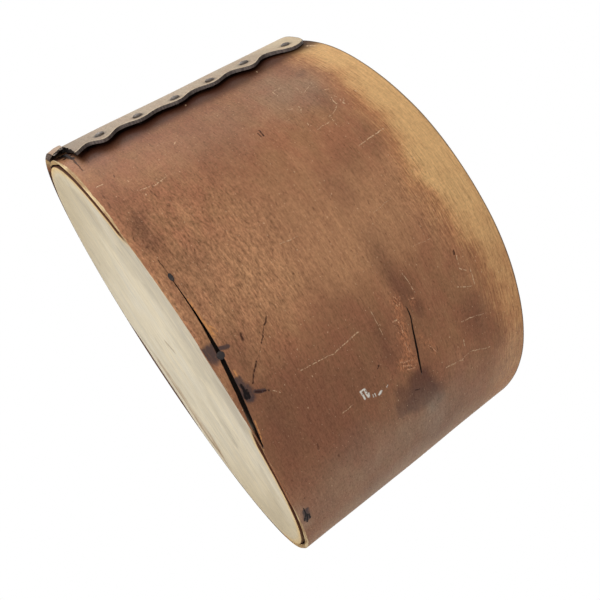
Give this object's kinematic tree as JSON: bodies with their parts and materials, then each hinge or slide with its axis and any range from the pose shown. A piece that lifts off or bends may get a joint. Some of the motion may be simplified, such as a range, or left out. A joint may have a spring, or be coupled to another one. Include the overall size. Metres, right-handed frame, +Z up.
{
  "type": "round bentwood box",
  "caption": "Round bentwood pantry box with a tacked wavy lap and a board let into its foot, open at the top, for keeping dry food.",
  "frame": {"origin": "centre of the base board's underside, on the surface that the box stands on", "axes": "+Z up through the mouth; -Y looks out through the row of seam tacks; +X completes the right hand"},
  "size_m": [0.2301, 0.2346, 0.132],
  "materials": {
    "side_wood": "aged bare wood, worn and scratched, satin",
    "board_wood": "bare pale wood, greyed",
    "tack_iron": "dark rusty iron, matt",
    "brad_iron": "dark rusty iron, matt"
  },
  "bodies": {
    "root": {"side_hoop": "side_wood", "base_board": "board_wood", "seam_tack_1": "tack_iron", "seam_tack_2": "tack_iron", "seam_tack_3": "tack_iron", "seam_tack_4": "tack_iron", "seam_tack_5": "tack_iron", "seam_tack_6": "tack_iron", "base_brad_1": "brad_iron", "base_brad_2": "brad_iron", "base_brad_3": "brad_iron", "base_brad_4": "brad_iron", "base_brad_5": "brad_iron", "base_brad_6": "brad_iron", "base_brad_7": "brad_iron", "base_brad_8": "brad_iron", "base_brad_9": "brad_iron", "base_brad_10": "brad_iron", "base_brad_11": "brad_iron"}
  },
  "joints": []
}
